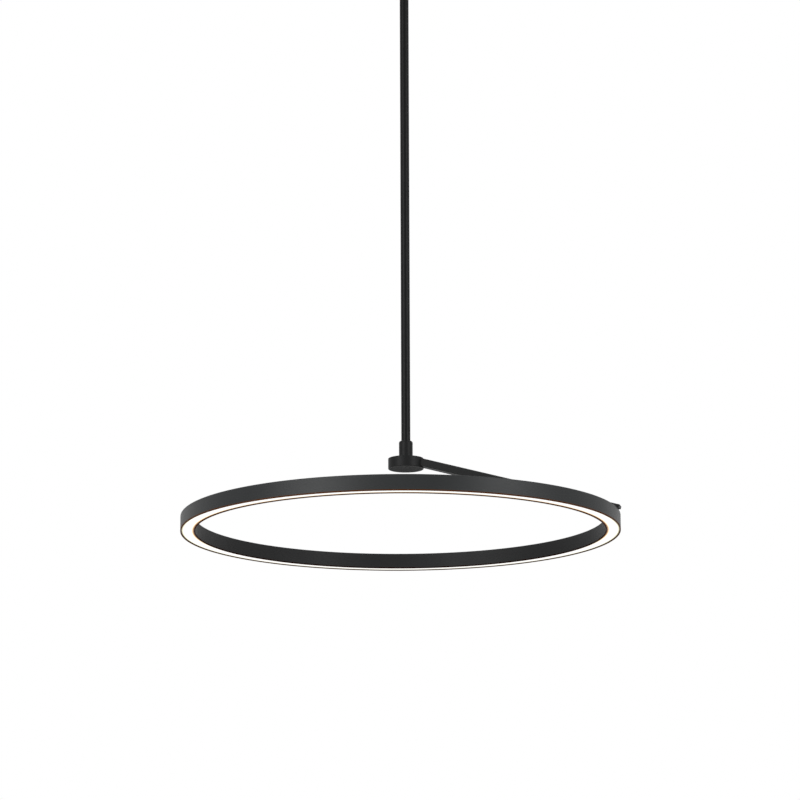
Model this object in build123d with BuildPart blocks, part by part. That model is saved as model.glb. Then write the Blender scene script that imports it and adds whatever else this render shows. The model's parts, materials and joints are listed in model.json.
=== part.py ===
from build123d import *
import os
from math import atan, cos, degrees, radians, sin, sqrt, tan

# LED ring pendant: a lit ring carried by one sloped arm on a rigid rod, with a ceiling canopy.
# Millimetres, Z up. The origin is on the rod's axis in the ceiling plane, and the arm runs along +X.

os.makedirs("parts", exist_ok=True)

# Ring sizes
ring_outer_d = 610.0
ring_width = 20.5
ring_height = 22.0
ring_wall = 1.5
ring_edge_r = 1.2
snap_rib_level = 7.0
snap_rib_height = 1.6
snap_rib_depth = 0.5
stop_rib_height = 1.0
stop_rib_depth = 1.2
diffuser_recess = 1.1
diffuser_plate = 2.0
diffuser_leg = 1.5
diffuser_height = 11.6
board_thickness = 1.2
board_count = 4
board_joint = 0.6
chip_count = 96
chip_size = (2.8, 3.5, 0.8)

# Arm sizes
arm_width = 18.0
arm_height = 10.8
arm_wall = 1.2
arm_corner_r = 0.8
arm_top_below_hub_top = 2.2
arm_end_rise = 3.6
arm_end_overhang = 3.2
spigot_length = 28.0
grub_from_hub = 13.0
grub_from_end = 6.0

# Hub and collar sizes
hub_d = 49.5
hub_height = 15.0
hub_wall = 3.25
hub_top_thickness = 3.0
hub_bottom_r = 1.0
hub_top_r = 0.6
hub_offset = 8.0
ring_below_hub = 68.2
cover_thickness = 2.0
cover_ledge = 0.75
cover_edge = 0.3
collar_d = 19.2
collar_height = 25.0
collar_shoulder_r = 3.0
nipple_in_collar = 12.0
root_block_inset = 9.2
root_block_head = 8.8
root_block_drop = 7.0
root_screw_spread = 10.0

# Rod sizes
stem_d = 12.7
stem_wall = 1.2
stem_length = 725.0
stem_socket_depth = 20.0
socket_floor = 3.0

# Swivel sizes
knuckle_width = 16.0
knuckle_r = 8.0
knuckle_bore_d = 8.0
yoke_cheek = 4.0
yoke_plate_d = 31.0
yoke_plate_thickness = 5.0
yoke_edge_r = 0.8
pivot_d = 5.0
pivot_head_d = 9.0
pivot_head_height = 2.2
pivot_washer_d = 11.0
pivot_washer_thickness = 0.5
bolt_head_d = 16.8
bolt_head_height = 3.0
bolt_shoulder_d = 13.0
bolt_bore_d = 6.5
stop_washer_thickness = 1.5
stop_pin_d = 2.0
stop_pin_radius = 13.0
stop_pin_depth = 3.5
stop_tab_width = 3.0
stop_tab_reach = 1.4

# Canopy sizes
canopy_d = 150.0
canopy_height = 32.0
canopy_wall = 1.5
canopy_edge_r = 6.0
strap_width = 22.0
strap_thickness = 2.0
strap_drop = 22.0
strap_bend_r = 3.0
slot_spacing = 88.9
slot_length = 14.0
slot_width = 5.0
strap_wire_hole_d = 14.0
side_screw_level = 14.0
side_screw_head_d = 8.0
side_screw_head_height = 2.5
ground_screw_x = 24.0
ground_head_d = 7.6
ground_head_height = 2.6
driver_size = (80.0, 30.0, 20.0)
driver_margin = 18.5
driver_corner_r = 3.0
terminal_size = (30.0, 18.0, 14.0)
terminal_margin = 28.5
terminal_poles = 3
terminal_pole_pitch = 9.0
terminal_screw_d = 4.0
terminal_screw_depth = 3.0
pad_thickness = 1.0
pad_margin = 2.0

# Fasteners and wires
m3_r = 1.5
m4_r = 2.0
m10_r = 5.0
m3_head_d = 5.4
m3_head_height = 2.0
m3_foot_length = 5.7
m3_blind_depth = 2.2
m3_grub_length = 3.2
m3_head_key = 2.5
m3_grub_key = 1.5
m4_key = 2.0
pivot_key = 3.0
key_depth = 1.2
ground_slot_width = 1.2
nipple_bore_d = 7.0
nut_flats = 14.0
hub_nut_height = 4.0
hanger_nut_height = 6.0
hanger_washer_d = 20.0
hanger_washer_thickness = 1.2
thread_end = 1.5
lead_d = 5.0
lead_bend_r = 9.0
lead_level = 13.0
wire_d = 1.7
wire_pitch = 1.9
wire_bend_r = 5.1
wire_slope_bend_r = 12.0
wire_hole_d = 6.6
wire_drop_inset = 5.0
wire_groove = 5.0

# Clearances
slip = 0.05
bearing_gap = 0.1
running_gap = 0.3
swing_gap = 0.6
hole_gap = 0.15
window_gap = 0.3
fit_gap = 0.2
wire_gap = 0.4
diffuser_gap = 0.15

# Radii worked out from the sizes
ring_r = ring_outer_d / 2
ring_mid_r = ring_r - ring_width / 2
ring_inner_r = ring_r - ring_width
ring_x = -hub_offset
hub_r = hub_d / 2
hub_inner_r = hub_r - hub_wall
collar_r = collar_d / 2
stem_r = stem_d / 2
canopy_r = canopy_d / 2
canopy_inner_r = canopy_r - canopy_wall
slot_half = knuckle_width / 2 + pivot_washer_thickness + bearing_gap
cheek_outer_x = slot_half + yoke_cheek
driver_y = canopy_inner_r - driver_margin - driver_size[1] / 2
terminal_y = terminal_margin + terminal_size[1] / 2 - canopy_inner_r

# Levels from the ceiling down to the bottom of the ring
canopy_bottom = -canopy_height
canopy_floor = canopy_bottom + canopy_wall
bolt_seat = canopy_bottom - stop_washer_thickness
yoke_top = bolt_seat - running_gap
yoke_plate_bottom = yoke_top - yoke_plate_thickness
bolt_head_top = yoke_plate_bottom - bearing_gap
bolt_head_bottom = bolt_head_top - bolt_head_height
pivot_level = bolt_head_bottom - swing_gap - knuckle_r
shoulder_level = pivot_level - knuckle_r - swing_gap
stem_top = shoulder_level - socket_floor
socket_bottom = stem_top - stem_socket_depth
stem_bottom = stem_top - stem_length
hub_top = stem_bottom - nipple_in_collar
collar_top = hub_top + collar_height
hub_ceiling = hub_top - hub_top_thickness
hub_bottom = hub_top - hub_height
ring_top = hub_bottom - ring_below_hub
ring_bottom = ring_top - ring_height
board_bottom = ring_bottom + diffuser_recess + diffuser_height + running_gap
board_top = board_bottom + board_thickness

# The arm's slope, from its top edge at the hub to the top of its end over the ring
arm_start = hub_top - arm_top_below_hub_top
arm_end_x = ring_x + ring_r + arm_end_overhang
arm_end_top = ring_top + arm_end_rise
arm_slope = atan((arm_start - arm_end_top) / (arm_end_x - hub_r))
arm_root_x = hub_inner_r + window_gap
arm_direction = (cos(arm_slope), 0, -sin(arm_slope))
arm_normal = (sin(arm_slope), 0, cos(arm_slope))


def arm_line(x, depth):
    """Height at x of a line that runs along the arm, at a depth square to its top face."""
    return arm_start - tan(arm_slope) * (x - hub_r) - depth / cos(arm_slope)


def arm_end(depth):
    """Point on the arm's square-cut end at a depth below its top corner."""
    return (arm_end_x - depth * sin(arm_slope), arm_end_top - depth * cos(arm_slope))


def arm_bar(start_x, depth_top, depth_bottom):
    """Side outline of a bar along the arm, from start_x to the arm's square-cut end."""
    Polyline(
        (start_x, arm_line(start_x, depth_top)),
        arm_end(depth_top),
        arm_end(depth_bottom),
        (start_x, arm_line(start_x, depth_bottom)),
        close=True,
    )


def radial_plane(angle):
    """Upright plane through the ring's section at an angle, with its origin at the section's foot."""
    c = cos(radians(angle))
    s = sin(radians(angle))
    return Plane(
        origin=(ring_x + ring_mid_r * c, ring_mid_r * s, ring_bottom),
        x_dir=(c, s, 0),
        z_dir=(s, -c, 0),
    )


ring_axis = Axis((ring_x, 0, 0), (0, 0, 1))
wire_drop_x = ring_x + ring_inner_r + wire_drop_inset
foot_screw_x = wire_drop_x + wire_hole_d / 2 + m3_head_d / 2 + 4 * running_gap
foot_screw_spread = arm_width / 2
plug_start_x = wire_drop_x + wire_hole_d / 2 + running_gap
spigot_end_x = arm_root_x + spigot_length
root_screw_x = root_block_inset + m3_head_d / 2 + running_gap
cavity_top = arm_wall
cavity_bottom = arm_height - arm_wall
wire_level = arm_line(arm_root_x, cavity_bottom) + wire_d / 2 + wire_gap
grub_places = (hub_r + grub_from_hub, arm_end_x - grub_from_end)

# Crossbar: a strap with ears bent down, slots for the ceiling box and a wire hole
ear_x = sqrt((canopy_inner_r - running_gap) ** 2 - (strap_width / 2) ** 2)

with BuildPart() as crossbar:
    with BuildSketch(Plane.XZ):
        with BuildLine():
            Polyline(
                (-ear_x, -strap_drop),
                (-ear_x, 0),
                (ear_x, 0),
                (ear_x, -strap_drop),
                (ear_x - strap_thickness, -strap_drop),
                (ear_x - strap_thickness, -strap_thickness),
                (strap_thickness - ear_x, -strap_thickness),
                (strap_thickness - ear_x, -strap_drop),
                close=True,
            )
        make_face()
    extrude(amount=strap_width / 2, both=True)
    bends = crossbar.edges().filter_by(Axis.Y)
    fillet(bends.group_by(Axis.Z)[-1], strap_bend_r)
    inner_bends = crossbar.edges().filter_by(Axis.Y).filter_by_position(
        Axis.Z, -strap_thickness - slip, -strap_thickness + slip
    )
    fillet(inner_bends, strap_bend_r - strap_thickness)
    with BuildSketch(Plane.XY):
        with Locations((-slot_spacing / 2, 0), (slot_spacing / 2, 0)):
            SlotOverall(slot_length, slot_width)
        Circle(strap_wire_hole_d / 2)
        with Locations((ground_screw_x, 0)):
            Circle(m4_r + slip)
    extrude(amount=-strap_thickness, mode=Mode.SUBTRACT)
    with BuildSketch(Plane.YZ):
        with Locations((0, -side_screw_level)):
            Circle(m4_r + slip)
    extrude(amount=ear_x, both=True, mode=Mode.SUBTRACT)
crossbar.part.label = "crossbar"
export_step(crossbar.part, "parts/crossbar.step")

# Earth screw in the strap
with BuildPart() as ground_screw:
    with BuildSketch(Plane.XY):
        with Locations((ground_screw_x, 0)):
            Circle(m4_r)
    extrude(amount=-strap_thickness)
    with BuildSketch(Plane.XY.offset(-strap_thickness)):
        with Locations((ground_screw_x, 0)):
            Circle(ground_head_d / 2)
    extrude(amount=-ground_head_height)
    chamfer(ground_screw.edges().sort_by(Axis.Z)[0], ground_head_height / 4)
    with BuildSketch(Plane.XY.offset(-strap_thickness - ground_head_height)):
        with Locations((ground_screw_x, 0)):
            Rectangle(ground_slot_width, ground_head_d)
    extrude(amount=key_depth, mode=Mode.SUBTRACT)
ground_screw.part.label = "ground_screw"
export_step(ground_screw.part, "parts/ground_screw.step")

# Canopy: a spun cup, open towards the ceiling
with BuildPart() as canopy:
    with BuildSketch(Plane.XY.offset(canopy_bottom)):
        Circle(canopy_r)
    extrude(amount=canopy_height)
    fillet(canopy.edges().group_by(Axis.Z)[0], canopy_edge_r)
    offset(amount=-canopy_wall, openings=canopy.faces().sort_by(Axis.Z)[-1])
    with BuildSketch(Plane.XY.offset(canopy_bottom)):
        Circle(m10_r + hole_gap)
    extrude(amount=canopy_wall, mode=Mode.SUBTRACT)
    with BuildSketch(Plane.YZ):
        with Locations((0, -side_screw_level)):
            Circle(m4_r + hole_gap)
    extrude(amount=canopy_r, both=True, mode=Mode.SUBTRACT)
canopy.part.label = "canopy"
export_step(canopy.part, "parts/canopy.step")

# Side screws that hold the canopy on the ears
with BuildPart() as canopy_side_screws:
    for side in (-1, 1):
        with BuildSketch(Plane(origin=(side * canopy_r, 0, -side_screw_level), z_dir=(side, 0, 0))):
            Circle(side_screw_head_d / 2)
        extrude(amount=side_screw_head_height)
        with BuildSketch(Plane(origin=(side * canopy_r, 0, -side_screw_level), z_dir=(-side, 0, 0))):
            Circle(m4_r)
        extrude(amount=canopy_r - ear_x + strap_thickness + thread_end)
    fillet(canopy_side_screws.edges().group_by(Axis.X)[0], side_screw_head_height / 2)
    fillet(canopy_side_screws.edges().group_by(Axis.X)[-1], side_screw_head_height / 2)
    for side in (-1, 1):
        head_x = side * (canopy_r + side_screw_head_height)
        with BuildSketch(Plane(origin=(head_x, 0, -side_screw_level), z_dir=(-side, 0, 0))):
            RegularPolygon(m4_key / 2, 6, major_radius=False)
        extrude(amount=key_depth, mode=Mode.SUBTRACT)
canopy_side_screws.part.label = "canopy_side_screws"
export_step(canopy_side_screws.part, "parts/canopy_side_screws.step")

# Adhesive pads under the driver and the terminals
with BuildPart() as fixing_pads:
    with BuildSketch(Plane.XY.offset(canopy_floor)):
        with Locations((0, driver_y)):
            Rectangle(driver_size[0] - 2 * pad_margin, driver_size[1] - 2 * pad_margin)
        with Locations((0, terminal_y)):
            Rectangle(terminal_size[0] - 2 * pad_margin, terminal_size[1] - 2 * pad_margin)
    extrude(amount=pad_thickness)
fixing_pads.part.label = "fixing_pads"
export_step(fixing_pads.part, "parts/fixing_pads.step")

# LED driver in its case
pad_top = canopy_floor + pad_thickness

with BuildPart() as led_driver:
    with BuildSketch(Plane.XY.offset(pad_top)):
        with Locations((0, driver_y)):
            RectangleRounded(driver_size[0], driver_size[1], driver_corner_r)
    extrude(amount=driver_size[2])
    chamfer(led_driver.faces().sort_by(Axis.Z)[-1].edges(), driver_corner_r / 3)
led_driver.part.label = "led_driver"
export_step(led_driver.part, "parts/led_driver.step")

# Terminal block with a screw well for each pole
with BuildPart() as terminal_block:
    with BuildSketch(Plane.XY.offset(pad_top)):
        with Locations((0, terminal_y)):
            Rectangle(terminal_size[0], terminal_size[1])
    extrude(amount=terminal_size[2])
    with BuildSketch(Plane.XY.offset(pad_top + terminal_size[2])):
        with Locations((0, terminal_y)):
            with GridLocations(terminal_pole_pitch, terminal_pole_pitch, terminal_poles, 2):
                Circle(terminal_screw_d / 2)
    extrude(amount=-terminal_screw_depth, mode=Mode.SUBTRACT)
terminal_block.part.label = "terminal_block"
export_step(terminal_block.part, "parts/terminal_block.step")

# Hollow shoulder bolt that carries the swivel
bolt_top = canopy_floor + hanger_washer_thickness + hanger_nut_height + thread_end

with BuildPart() as hanger_bolt:
    with BuildSketch(Plane.XY.offset(bolt_head_bottom)):
        Circle(bolt_head_d / 2)
    extrude(amount=bolt_head_height)
    with BuildSketch(Plane.XY.offset(bolt_head_top)):
        Circle(bolt_shoulder_d / 2)
    extrude(amount=bolt_seat - bolt_head_top)
    with BuildSketch(Plane.XY.offset(bolt_seat)):
        Circle(m10_r)
    extrude(amount=bolt_top - bolt_seat)
    with BuildSketch(Plane.XY.offset(bolt_head_bottom)):
        Circle(bolt_bore_d / 2)
    extrude(amount=bolt_top - bolt_head_bottom, mode=Mode.SUBTRACT)
hanger_bolt.part.label = "hanger_bolt"
export_step(hanger_bolt.part, "parts/hanger_bolt.step")

# Stop washer: its tab stands in the way of the stop pin
stop_washer_r = stop_pin_radius - stop_pin_d / 2 - running_gap

with BuildPart() as stop_washer:
    with BuildSketch(Plane.XY.offset(bolt_seat)):
        Circle(stop_washer_r)
        with Locations((0, -stop_pin_radius / 2)):
            Rectangle(stop_tab_width, stop_pin_radius + 2 * stop_tab_reach)
        Circle(m10_r + hole_gap, mode=Mode.SUBTRACT)
    extrude(amount=stop_washer_thickness)
stop_washer.part.label = "stop_washer"
export_step(stop_washer.part, "parts/stop_washer.step")

# Washer and nut that clamp the bolt in the canopy floor
with BuildPart() as hanger_washer:
    with BuildSketch(Plane.XY.offset(canopy_floor)):
        Circle(hanger_washer_d / 2)
        Circle(m10_r + hole_gap, mode=Mode.SUBTRACT)
    extrude(amount=hanger_washer_thickness)
hanger_washer.part.label = "hanger_washer"
export_step(hanger_washer.part, "parts/hanger_washer.step")

with BuildPart() as hanger_nut:
    with BuildSketch(Plane.XY.offset(canopy_floor + hanger_washer_thickness)):
        RegularPolygon(nut_flats / 2, 6, major_radius=False)
        Circle(m10_r + slip, mode=Mode.SUBTRACT)
    extrude(amount=hanger_nut_height)
hanger_nut.part.label = "hanger_nut"
export_step(hanger_nut.part, "parts/hanger_nut.step")

# Leads inside the canopy: terminals to driver, and driver to the hollow bolt
input_level = pad_top + terminal_size[2] / 2
input_x = -driver_size[0] / 2 - lead_bend_r - lead_d / 2

with BuildPart() as input_lead:
    with BuildLine() as input_path:
        FilletPolyline(
            (-terminal_size[0] / 2, terminal_y, input_level),
            (input_x, terminal_y, input_level),
            (input_x, driver_y, input_level),
            (-driver_size[0] / 2, driver_y, input_level),
            radius=lead_bend_r,
        )
    with BuildSketch(Plane(origin=input_path.line @ 0, z_dir=input_path.line % 0)):
        Circle(lead_d / 2)
    sweep()
input_lead.part.label = "input_lead"
export_step(input_lead.part, "parts/input_lead.step")

with BuildPart() as driver_lead:
    with BuildLine() as driver_path:
        FilletPolyline(
            (0, driver_y - driver_size[1] / 2, -lead_level),
            (0, 0, -lead_level),
            (0, 0, bolt_head_bottom + running_gap),
            radius=lead_bend_r,
        )
    with BuildSketch(Plane(origin=driver_path.line @ 0, z_dir=driver_path.line % 0)):
        Circle(lead_d / 2)
    sweep()
driver_lead.part.label = "driver_lead"
export_step(driver_lead.part, "parts/driver_lead.step")

# Swivel yoke: a plate that turns on the bolt's shoulder, with two cheeks for the pivot
with BuildPart() as swivel_yoke:
    with BuildSketch(Plane.XY.offset(yoke_plate_bottom)):
        Circle(yoke_plate_d / 2)
    extrude(amount=yoke_plate_thickness)
    fillet(swivel_yoke.edges().group_by(Axis.Z)[-1], yoke_edge_r)
    for side in (-1, 1):
        with BuildSketch(Plane.YZ.offset(side * slot_half)):
            with Locations((0, (yoke_plate_bottom + pivot_level) / 2)):
                Rectangle(2 * knuckle_r, yoke_plate_bottom - pivot_level)
            with Locations((0, pivot_level)):
                Circle(knuckle_r)
        extrude(amount=side * yoke_cheek)
    with BuildSketch(Plane.XY.offset(yoke_plate_bottom)):
        Circle(bolt_shoulder_d / 2 + slip)
    extrude(amount=yoke_plate_thickness, mode=Mode.SUBTRACT)
    with BuildSketch(Plane.YZ):
        with Locations((0, pivot_level)):
            Circle(pivot_d / 2 + slip)
    extrude(amount=cheek_outer_x, both=True, mode=Mode.SUBTRACT)
    with BuildSketch(Plane.XY.offset(yoke_top)):
        with Locations((0, stop_pin_radius)):
            Circle(stop_pin_d / 2)
    extrude(amount=-stop_pin_depth, mode=Mode.SUBTRACT)
swivel_yoke.part.label = "swivel_yoke"
export_step(swivel_yoke.part, "parts/swivel_yoke.step")

# Stop pin, pressed into the yoke
with BuildPart() as stop_pin:
    with BuildSketch(Plane.XY.offset(yoke_top - stop_pin_depth)):
        with Locations((0, stop_pin_radius)):
            Circle(stop_pin_d / 2)
    extrude(amount=canopy_bottom - running_gap - yoke_top + stop_pin_depth)
stop_pin.part.label = "stop_pin"
export_step(stop_pin.part, "parts/stop_pin.step")

# Swivel knuckle: a hollow round-topped tongue over the rod's socket
with BuildPart() as swivel_knuckle:
    with BuildSketch(Plane.YZ):
        with Locations((0, pivot_level)):
            Circle(knuckle_r)
        with Locations((0, (pivot_level + shoulder_level) / 2)):
            Rectangle(2 * knuckle_r, pivot_level - shoulder_level)
    extrude(amount=knuckle_width / 2, both=True)
    with BuildSketch(Plane.XY.offset(socket_bottom)):
        Circle(collar_r)
    extrude(amount=shoulder_level - socket_bottom)
    chamfer(swivel_knuckle.edges().group_by(Axis.Z)[0], socket_floor / 4)
    with BuildSketch(Plane.XY.offset(socket_bottom)):
        Circle(stem_r + slip)
    extrude(amount=stem_socket_depth, mode=Mode.SUBTRACT)
    with BuildSketch(Plane.XY.offset(stem_top)):
        Circle(knuckle_bore_d / 2)
    extrude(amount=pivot_level + knuckle_r - stem_top, mode=Mode.SUBTRACT)
    with BuildSketch(Plane.YZ):
        with Locations((0, pivot_level)):
            Circle(pivot_d / 2 + slip)
    extrude(amount=knuckle_width / 2, both=True, mode=Mode.SUBTRACT)
    with BuildSketch(Plane.XZ):
        with Locations((0, stem_top - stem_socket_depth / 2)):
            Circle(m4_r + slip)
    extrude(amount=-collar_r, mode=Mode.SUBTRACT)
swivel_knuckle.part.label = "swivel_knuckle"
export_step(swivel_knuckle.part, "parts/swivel_knuckle.step")

# Pivot screws from both sides, short enough to leave the wire's way free
pivot_inner_x = knuckle_bore_d / 2 + running_gap
pivot_head_x = cheek_outer_x + fit_gap

with BuildPart() as pivot_screws:
    for side in (-1, 1):
        with BuildSketch(Plane.YZ.offset(side * pivot_inner_x)):
            with Locations((0, pivot_level)):
                Circle(pivot_d / 2)
        extrude(amount=side * (pivot_head_x - pivot_inner_x))
        with BuildSketch(Plane.YZ.offset(side * pivot_head_x)):
            with Locations((0, pivot_level)):
                Circle(pivot_head_d / 2)
        extrude(amount=side * pivot_head_height)
    fillet(pivot_screws.edges().group_by(Axis.X)[0], pivot_head_height / 2)
    fillet(pivot_screws.edges().group_by(Axis.X)[-1], pivot_head_height / 2)
    for side in (-1, 1):
        with BuildSketch(Plane.YZ.offset(side * (pivot_head_x + pivot_head_height))):
            with Locations((0, pivot_level)):
                RegularPolygon(pivot_key / 2, 6, major_radius=False)
        extrude(amount=-side * key_depth, mode=Mode.SUBTRACT)
pivot_screws.part.label = "pivot_screws"
export_step(pivot_screws.part, "parts/pivot_screws.step")

with BuildPart() as pivot_washers:
    for side in (-1, 1):
        with BuildSketch(Plane.YZ.offset(side * knuckle_width / 2)):
            with Locations((0, pivot_level)):
                Circle(pivot_washer_d / 2)
                Circle(pivot_d / 2 + slip, mode=Mode.SUBTRACT)
        extrude(amount=side * pivot_washer_thickness)
pivot_washers.part.label = "pivot_washers"
export_step(pivot_washers.part, "parts/pivot_washers.step")

# Rod
with BuildPart() as stem:
    with BuildSketch(Plane.XY.offset(stem_bottom)):
        Circle(stem_r)
        Circle(stem_r - stem_wall, mode=Mode.SUBTRACT)
    extrude(amount=stem_length)
stem.part.label = "stem"
export_step(stem.part, "parts/stem.step")

# Set screws that grip the rod, in the knuckle and in the collar
collar_socket_middle = (stem_bottom + collar_top) / 2

with BuildPart() as stem_set_screws:
    for level in (stem_top - stem_socket_depth / 2, collar_socket_middle):
        with BuildSketch(Plane.XZ.offset(-stem_r)):
            with Locations((0, level)):
                Circle(m4_r)
        extrude(amount=stem_r + running_gap - collar_r)
        with BuildSketch(Plane.XZ.offset(running_gap - collar_r)):
            with Locations((0, level)):
                RegularPolygon(m4_key / 2, 6, major_radius=False)
        extrude(amount=key_depth, mode=Mode.SUBTRACT)
stem_set_screws.part.label = "stem_set_screws"
export_step(stem_set_screws.part, "parts/stem_set_screws.step")

# Collar with a rounded shoulder at the rod's lower end
with BuildPart() as bottom_collar:
    with BuildSketch(Plane.XY.offset(hub_top)):
        Circle(collar_r)
    extrude(amount=collar_height)
    fillet(bottom_collar.edges().group_by(Axis.Z)[-1], collar_shoulder_r)
    with BuildSketch(Plane.XY.offset(hub_top)):
        Circle(m10_r + slip)
    extrude(amount=nipple_in_collar, mode=Mode.SUBTRACT)
    with BuildSketch(Plane.XY.offset(stem_bottom)):
        Circle(stem_r + slip)
    extrude(amount=collar_top - stem_bottom, mode=Mode.SUBTRACT)
    with BuildSketch(Plane.XZ):
        with Locations((0, collar_socket_middle)):
            Circle(m4_r + slip)
    extrude(amount=-collar_r, mode=Mode.SUBTRACT)
bottom_collar.part.label = "bottom_collar"
export_step(bottom_collar.part, "parts/bottom_collar.step")

# Hollow nipple and nut that join the collar and the hub
nipple_bottom = hub_ceiling - hub_nut_height - thread_end / 2

with BuildPart() as stem_nipple:
    with BuildSketch(Plane.XY.offset(nipple_bottom)):
        Circle(m10_r)
        Circle(nipple_bore_d / 2, mode=Mode.SUBTRACT)
    extrude(amount=stem_bottom - nipple_bottom)
stem_nipple.part.label = "stem_nipple"
export_step(stem_nipple.part, "parts/stem_nipple.step")

with BuildPart() as hub_nut:
    with BuildSketch(Plane.XY.offset(hub_ceiling)):
        RegularPolygon(nut_flats / 2, 6, major_radius=False)
        Circle(m10_r + slip, mode=Mode.SUBTRACT)
    extrude(amount=-hub_nut_height)
hub_nut.part.label = "hub_nut"
export_step(hub_nut.part, "parts/hub_nut.step")

# Hub: a round cup open below, with a stepped window for the arm
spigot_half = arm_width / 2 - arm_wall - slip

with BuildPart() as hub_body:
    with BuildSketch(Plane.XY.offset(hub_bottom)):
        Circle(hub_r)
    extrude(amount=hub_height)
    fillet(hub_body.edges().group_by(Axis.Z)[0], hub_bottom_r)
    fillet(hub_body.edges().group_by(Axis.Z)[-1], hub_top_r)
    with BuildSketch(Plane.XY.offset(hub_bottom)):
        Circle(hub_inner_r)
    extrude(amount=hub_height - hub_top_thickness, mode=Mode.SUBTRACT)
    with BuildSketch(Plane.XY.offset(hub_bottom)):
        Circle(hub_inner_r + cover_ledge)
    extrude(amount=cover_thickness, mode=Mode.SUBTRACT)
    with BuildSketch(Plane.XY.offset(hub_ceiling)):
        Circle(m10_r + hole_gap)
    extrude(amount=hub_top_thickness, mode=Mode.SUBTRACT)
    with BuildSketch(Plane.XZ):
        with BuildLine():
            arm_bar(arm_root_x, -window_gap, arm_height + window_gap)
        make_face()
    extrude(amount=arm_width / 2 + window_gap, both=True, mode=Mode.SUBTRACT)
    with BuildSketch(Plane.XZ):
        with BuildLine():
            arm_bar(hub_inner_r - hub_wall, cavity_top + slip, cavity_bottom - slip)
        make_face()
    extrude(amount=spigot_half + fit_gap, both=True, mode=Mode.SUBTRACT)
    with BuildSketch(Plane.XY.offset(hub_ceiling)):
        with Locations((root_screw_x, 0)):
            with GridLocations(0, root_screw_spread, 1, 2):
                Circle(m3_r + slip)
    extrude(amount=m3_blind_depth + slip, mode=Mode.SUBTRACT)
hub_body.part.label = "hub_body"
export_step(hub_body.part, "parts/hub_body.step")

# Plain lid pressed into the hub's lower edge
with BuildPart() as hub_cover:
    with BuildSketch(Plane.XY.offset(hub_bottom)):
        Circle(hub_inner_r + cover_ledge - bearing_gap)
    extrude(amount=cover_thickness)
    chamfer(hub_cover.edges().group_by(Axis.Z)[0], cover_edge)
hub_cover.part.label = "hub_cover"
export_step(hub_cover.part, "parts/hub_cover.step")

# Root block: screwed under the hub's top, with a spigot that fills the arm's end
with BuildPart() as arm_root_block:
    with BuildSketch(Plane.XZ):
        with BuildLine():
            Polyline(
                (root_block_inset, arm_line(root_block_inset, cavity_top + slip)),
                (spigot_end_x, arm_line(spigot_end_x, cavity_top + slip)),
                (spigot_end_x, arm_line(spigot_end_x, cavity_bottom - slip)),
                (root_block_inset, arm_line(root_block_inset, cavity_bottom - slip)),
                close=True,
            )
        make_face()
        with Locations((root_block_inset + root_block_head / 2, hub_ceiling - root_block_drop / 2)):
            Rectangle(root_block_head, root_block_drop)
    extrude(amount=spigot_half, both=True)
    split(bisect_by=Plane.XY.offset(hub_ceiling), keep=Keep.BOTTOM)
    with BuildSketch(Plane.XZ):
        with BuildLine():
            Polyline(
                (root_block_inset, wire_level + wire_d),
                (arm_root_x, wire_level + wire_d),
                (spigot_end_x, arm_line(spigot_end_x, cavity_bottom) + 2 * wire_d),
                (spigot_end_x, arm_line(spigot_end_x, arm_height)),
                (root_block_inset, arm_line(spigot_end_x, arm_height)),
                close=True,
            )
        make_face()
    extrude(amount=wire_groove / 2, both=True, mode=Mode.SUBTRACT)
    with BuildSketch(Plane.XY.offset(hub_ceiling)):
        with Locations((root_screw_x, 0)):
            with GridLocations(0, root_screw_spread, 1, 2):
                Circle(m3_r + hole_gap)
    extrude(amount=-root_block_drop, mode=Mode.SUBTRACT)
    with BuildSketch(Plane((grub_places[0], 0, arm_line(grub_places[0], 0)), z_dir=arm_normal)):
        Circle(m3_r + slip)
    extrude(amount=-m3_grub_length - slip, mode=Mode.SUBTRACT)
arm_root_block.part.label = "arm_root_block"
export_step(arm_root_block.part, "parts/arm_root_block.step")

with BuildPart() as arm_root_screws:
    with BuildSketch(Plane.XY.offset(hub_ceiling - root_block_drop)):
        with Locations((root_screw_x, 0)):
            with GridLocations(0, root_screw_spread, 1, 2):
                Circle(m3_head_d / 2)
    extrude(amount=-m3_head_height)
    with BuildSketch(Plane.XY.offset(hub_ceiling - root_block_drop)):
        with Locations((root_screw_x, 0)):
            with GridLocations(0, root_screw_spread, 1, 2):
                Circle(m3_r)
    extrude(amount=root_block_drop + m3_blind_depth)
    with BuildSketch(Plane.XY.offset(hub_ceiling - root_block_drop - m3_head_height)):
        with Locations((root_screw_x, 0)):
            with GridLocations(0, root_screw_spread, 1, 2):
                RegularPolygon(m3_head_key / 2, 6, major_radius=False)
    extrude(amount=key_depth, mode=Mode.SUBTRACT)
arm_root_screws.part.label = "arm_root_screws"
export_step(arm_root_screws.part, "parts/arm_root_screws.step")

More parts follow.
